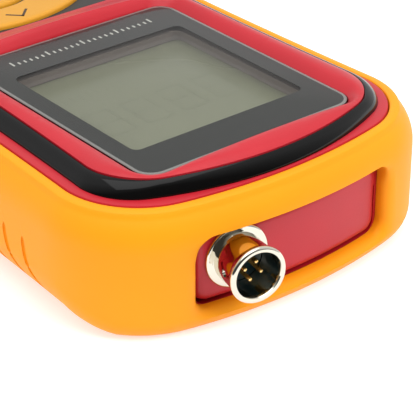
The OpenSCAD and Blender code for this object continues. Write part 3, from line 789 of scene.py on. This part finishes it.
def key_plan(grow):
    """Outline of the outer key that points to +Y, with rounded corners, moved out by grow."""
    def reach(x, y):
        ring = np.hypot(x, y) - (KEY_R + KEY_GAP)
        top = CLUSTER_R - np.hypot(x, y + CLUSTER_DROP)
        sides = CLUSTER_SIDE_R - np.hypot(np.abs(x) + CLUSTER_SHIFT, y)
        split = (y - np.abs(x)) / math.sqrt(2) - KEY_GAP / 2
        return np.array([ring, top, sides, split]) - KEY_SOFT

    points = []
    for a in np.linspace(0, 2 * np.pi, KEY_POINTS, endpoint=False):
        lo, hi = 0.0, 30.0
        for _ in range(36):
            t = (lo + hi) / 2
            away = np.minimum(reach(t * math.cos(a), KEY_HEART + t * math.sin(a)), 0)
            lo, hi = (t, hi) if np.linalg.norm(away) < KEY_SOFT + grow else (lo, t)
        points.append((lo * math.cos(a), KEY_HEART + lo * math.sin(a)))
    return np.array(points)


def middle_plan(grow):
    return arc(0, 0, KEY_R + grow, 0, 360, KEY_POINTS)[:-1]


def place_on_pad(points, degrees):
    """Points of the keypad's own plan, turned by degrees and moved to the keypad's place."""
    a = math.radians(degrees)
    m = np.array([[math.cos(a), -math.sin(a)], [math.sin(a), math.cos(a)]])
    return points @ m.T + [0, PAD_MID]


def keypad_plate():
    """Dark plate round the keys, with a hole for each."""
    b = Builder()
    low, high = float(PLATE_LOW[2]), float(PLATE_HIGH[2])
    wide, long = PLATE_HIGH[0] - PLATE_LOW[0], PLATE_HIGH[1] - PLATE_LOW[1]
    outer = rounded_rect(wide, long, 7.8, 10, 20, 20) + [0, PAD_MID]
    holes = [place_on_pad(key_plan(0.25), t) for t in TURNS.values()] + [place_on_pad(middle_plan(0.25), 0)]
    for z in (low, high):
        b.patch([outer] + holes, np.zeros((0, 2)), lambda xy, z=z: np.full(len(xy), z))
    for loop in [outer] + holes:
        b.stack((loop, low), (loop, high))
    dress(b.build("keypad_surround", DARK, angle=30), "meter", "dark_plastic", "keypad_plate")


def key(node, degrees, outline, middle):
    """A key with a rounded edge and a slightly domed top."""
    top = KEY_TOP
    steps = [(0.0, KEY_FOOT), (0.0, top - 0.75), (-0.06, top - 0.5), (-0.2, top - 0.28), (-0.42, top - 0.13),
             (-0.7, top - KEY_DOME)]
    b = Builder()
    loops = [at_z(place_on_pad(outline(g), degrees), z) for g, z in steps]
    b.cap(loops[0], flip=True)
    b.loft(loops)
    edge = loops[-1][:, :2]
    centre = place_on_pad(np.array([middle]), degrees)[0]
    reach = np.max(np.linalg.norm(edge - centre, axis=1))
    rows = [centre + (edge - centre) * (1 - f) for f in (0.12, 0.3, 0.5, 0.7, 0.86)]
    height = [top - KEY_DOME * np.minimum(1, np.linalg.norm(r - centre, axis=1) / reach) for r in rows]
    b.loft([loops[-1]] + [at_z(r, h) for r, h in zip(rows, height)])
    last = b.add(at_z(rows[-1], height[-1]))
    tip = b.add([(*centre, top)])[0]
    b.faces += [(last[i], last[(i + 1) % len(last)], tip) for i in range(len(last))]
    dress(b.build(node + "_cap", KEY, angle=50), node.split("_")[1] + "_key", "key_plastic", node)


def stroke(b, points, width, z, rise):
    """A flat printed line along points, standing rise above height z."""
    for p, q in zip(points, points[1:]):
        p, q = np.array(p, float), np.array(q, float)
        v = (q - p) / np.linalg.norm(q - p)
        n = np.array([-v[1], v[0]]) * width / 2
        a, c = p - v * width / 2, q + v * width / 2
        quad = np.array([a - n, c - n, c + n, a + n])
        b.solid([at_z(quad, z), at_z(quad, z + rise)])


ICONS = {
    "key_top": [[(-2.4, 0), (0, 2.4), (2.4, 0)]],
    "key_bottom": [[(-2.4, 1.2), (0, -1.2), (2.4, 1.2)]],
    "key_left": [[(1.2, -2.4), (-1.2, 0), (1.2, 2.4)]],
    "key_right": [[(-1.2, -2.4), (1.2, 0), (-1.2, 2.4)]],
    "key_middle": [[(3.6 * math.cos(a), 3.6 * math.sin(a)) for a in np.radians(np.linspace(125, 415, 16))],
                   [(0, 1.2), (0, 4.4)]],
}


def key_icon(node, degrees, middle):
    """Generic printed sign on a key: arrows on the outer keys and a power sign in the middle."""
    b = Builder()
    at = place_on_pad(np.array([middle]), degrees)[0]
    for line in ICONS[node]:
        stroke(b, [at + p for p in line], 0.55, KEY_TOP - 0.06, 0.07)
    dress(b.build(node + "_sign", DARK_INK), node.split("_")[1] + "_key", "key_plastic")


def keypad():
    keypad_plate()
    for node, degrees in TURNS.items():
        key(node, degrees, key_plan, (0, KEY_MID))
        key_icon(node, degrees, (0, KEY_MID))
    key("key_middle", 0, middle_plan, (0, 0))
    key_icon("key_middle", 0, (0, 0))


# ---- probe socket ----

YAW = math.radians(10.2)
BARREL_R = 4.95
BORE_R = 4.35
RIM_R = 5.62
FLANGE_R = 6.38
SOCKET_L = 8.85
SETBACK = 3.75
LATCH_TURN = math.radians(2)
LATCH_Z = 4.9
LATCH_R = 0.7
PINS = 4
PIN_R = 0.4
PIN_CIRCLE_R = 1.77
PIN_TURN = -20.5


def socket_place():
    """Matrix, in millimetres, of the socket's axis: local Z points out of the case."""
    turn_out = Matrix.Rotation(-YAW, 4, "Z") @ Matrix.Rotation(-math.pi / 2, 4, "X")
    return Matrix.Translation((SOCKET_X, BODY["y1"] - SETBACK, SOCKET_Z)) @ turn_out


def rod(b, r, h0, h1, place, sides=24, tip=0.0):
    """A round rod along the place's Z axis, from height h0 to h1, with its end rounded by tip."""
    b.solid(revolve([(r, h0), (r, h1 - tip), (r - tip * 0.3, h1 - tip * 0.3), (r - tip, h1)], sides, place))


def socket():
    """Probe socket: the chrome barrel with its flange, rolled rim and latch hole, the insert and the pins."""
    place = socket_place()
    flange = [(BARREL_R, 0.0), (FLANGE_R - 0.08, 0.0), (FLANGE_R, 0.06), (FLANGE_R, 0.75),
              (FLANGE_R - 0.07, 0.98), (FLANGE_R - 0.26, 1.14), (FLANGE_R - 0.53, 1.2), (5.1, 1.2),
              (4.9, 1.26), (BARREL_R, 1.4)]
    rim = [(RIM_R - 0.02 - 0.62 * (1 - math.sin(a)), SOCKET_L - 0.62 - 0.6 * math.cos(a))
           for a in np.radians(np.linspace(20, 165, 12))]
    mouth = [(BORE_R + 0.27, SOCKET_L - 0.12), (BORE_R + 0.1, SOCKET_L - 0.35),
             (BORE_R + 0.01, SOCKET_L - 0.7), (BORE_R, SOCKET_L - 1.1)]
    barrel = Builder()
    barrel.loft(revolve([(4.2, -7.5), (BARREL_R, -7.5)] + flange
                        + [(BARREL_R, 1.8), (BARREL_R, SOCKET_L - 2.2), (BARREL_R + 0.03, SOCKET_L - 1.9)]
                        + rim + mouth + [(BORE_R, 1.5), (4.2, 1.5)], 96, place), close=True)
    obj = barrel.build("socket_barrel", CHROME, 45)
    hole = Builder()
    across = place @ Matrix.Rotation(LATCH_TURN, 4, "Z") @ Matrix.Translation((3.9, 0, LATCH_Z))
    rod(hole, LATCH_R, 0, 3, across @ Matrix.Rotation(math.pi / 2, 4, "Y"))
    cut(obj, hole.build("latch_cutter", CHROME))
    shade(obj, 40)
    dress(obj, "meter", "chrome", "socket_shell")
    insert = Builder()
    face = [(4.1, -7.0), (4.15, 1.4), (4.3, 1.6), (4.3, 2.05), (4.22, 2.2), (4.0, 2.2)]
    insert.solid(revolve(face, 72, place))
    dress(insert.build("socket_core", INSERT, 30), "meter", "insert_plastic", "socket_insert")
    pins = Builder()
    for k in range(PINS):
        a = math.radians(360 / PINS * k + PIN_TURN)
        at = Matrix.Translation((PIN_CIRCLE_R * math.cos(a), PIN_CIRCLE_R * math.sin(a), 0))
        rod(pins, PIN_R, -9.5, 6.8, place @ at, 20, 0.3)
    dress(pins.build("socket_contacts", GOLD, 40), "meter", "gold", "socket_pins")


# ---- display surface ----

DIGITS = 4
DIGIT_PITCH = 8.8
TICKS = 16
TICK_PITCH = 2


def segments():
    """Faint unlit segments of a generic display: four digits and a bar scale."""
    b = Builder()
    z = float(POLAR_HIGH[2])
    lines = [((-2.4, 5), (2.4, 5)), ((2.9, 4.5), (2.9, 0.5)), ((2.9, -0.5), (2.9, -4.5)),
             ((-2.4, -5), (2.4, -5)), ((-2.9, -0.5), (-2.9, -4.5)), ((-2.9, 4.5), (-2.9, 0.5)),
             ((-2.4, 0), (2.4, 0))]
    for i in range(DIGITS):
        middle = [(i - (DIGITS - 1) / 2) * DIGIT_PITCH, VIEW_MID + 2]
        for line in lines:
            stroke(b, np.array(line) + middle, 0.7, z, 0.008)
    for i in range(TICKS):
        x = (i - (TICKS - 1) / 2) * TICK_PITCH
        stroke(b, [(x, VIEW_MID - 11), (x, VIEW_MID - 9.4)], 0.6, z, 0.008)
    dress(b.build("display_segments", SEGMENT), "meter", "display_film")


# ---- the parts that keep their CAD shape ----

LOOKS = {
    "rear_shell": CASE, "battery_door": CASE, "case_seal": SOFT_BLACK, "lens_tape": FOAM,
    "key_pills": SOFT_BLACK, "door_foam": SOFT_BLACK, "key_mat": SILICONE, "zebra_strips": SILICONE,
    "lcd_frame": DARK, "controller_chip": DARK, "small_chips": DARK, "buzzer": DARK, "capacitors": DARK,
    "lcd_glass": DISPLAY, "lcd_polarizer": DISPLAY, "lcd_backlight": WHITE, "backlight_leds": WHITE,
    "board_header": WHITE, "main_board": BOARD, "chip_parts": CERAMIC, "crystal": STEEL, "board_screws": STEEL,
    "shell_screws": STEEL, "socket_washer": STEEL, "cell_cans": STEEL, "contact_springs": STEEL,
    "contact_plates": STEEL, "shell_inserts": GOLD, "socket_nut": CHROME, "socket_wires": WIRE,
    "battery_wires": WIRE, "cell_jackets": JACKET, "rear_label": LABEL,
}
EASED = {"rear_shell": 0.4, "battery_door": 0.3, "board_header": 0.3, "controller_chip": 0.1,
         "small_chips": 0.1}


def dress_cad_nodes():
    """Gives every carried-over CAD node its look, and a small rounding to those with sharp edges."""
    for node, look in LOOKS.items():
        obj = frame["nodes"][node]
        obj.data.materials.clear()
        obj.data.materials.append(look)
        if node in EASED:
            mod = obj.modifiers.new("eased", "BEVEL")
            mod.width, mod.segments, mod.limit_method = EASED[node] * MM, 2, "ANGLE"
            mod.angle_limit = math.radians(40)
            mod.harden_normals = True


# ---- floor, light ----

def floor():
    """A pale disc, only for the picture."""
    bpy.ops.mesh.primitive_circle_add(radius=0.5, vertices=96, fill_type="NGON", location=(-0.2, -0.25, 0))
    obj = bpy.context.object
    obj.name = "floor"
    obj.data.materials.append(FLOOR)


def soft_light(name, place, aim, size, power, glossy=True):
    data = bpy.data.lights.new(name, "AREA")
    data.shape, data.size, data.size_y, data.energy = "RECTANGLE", size[0], size[1], power
    obj = bpy.data.objects.new(name, data)
    obj.location = place
    obj.rotation_euler = (Vector(aim) - Vector(place)).to_track_quat("-Z", "Y").to_euler()
    obj.visible_glossy = glossy
    bpy.context.collection.objects.link(obj)


def world():
    """White to the camera; everything else sees a grey studio, bright above and towards -X and -Y."""
    w = bpy.data.worlds.new("world")
    bpy.context.scene.world = w
    w.use_nodes = True
    nodes, links = w.node_tree.nodes, w.node_tree.links
    studio = nodes["Background"]
    backdrop = nodes.new("ShaderNodeBackground")
    backdrop.inputs["Color"].default_value = (1, 1, 1, 1)
    where = nodes.new("ShaderNodeTexCoord")
    side = nodes.new("ShaderNodeVectorMath")
    side.operation = "DOT_PRODUCT"
    side.inputs[1].default_value = (-0.5, -0.62, 0.6)
    span = nodes.new("ShaderNodeMapRange")
    span.inputs["From Min"].default_value = -0.35
    span.inputs["From Max"].default_value = 0.3
    ramp = nodes.new("ShaderNodeValToRGB")
    ramp.color_ramp.elements[0].color = (0.06, 0.06, 0.06, 1)
    ramp.color_ramp.elements[1].color = (0.88, 0.88, 0.88, 1)
    rays = nodes.new("ShaderNodeLightPath")
    mix = nodes.new("ShaderNodeMixShader")
    for a, b in ((where.outputs["Generated"], side.inputs[0]), (side.outputs["Value"], span.inputs["Value"]),
                 (span.outputs["Result"], ramp.inputs["Fac"]), (ramp.outputs["Color"], studio.inputs["Color"]),
                 (rays.outputs["Is Camera Ray"], mix.inputs[0]), (studio.outputs[0], mix.inputs[1]),
                 (backdrop.outputs[0], mix.inputs[2]),
                 (mix.outputs[0], nodes["World Output"].inputs["Surface"])):
        links.new(a, b)


def lights():
    soft_light("overhead", (0.12, 0.16, 0.8), (0, 0, 0.01), (0.9, 0.9), 4.2)
    soft_light("front", (-0.2, 0.66, 0.5), (0, 0.04, 0.01), (0.4, 0.25), 3.2, False)
    soft_light("left", (0.6, 0.15, 0.3), (0.04, 0.02, 0.01), (0.4, 0.3), 1.6, False)


def main():
    boot()
    front_shell()
    trim_ring()
    lens()
    lens_print()
    keypad()
    socket()
    segments()
    dress_cad_nodes()
    floor()
    lights()
    world()
    camera()
    bpy.context.scene.view_settings.view_transform = "Standard"
    bpy.context.view_layer.update()


main()
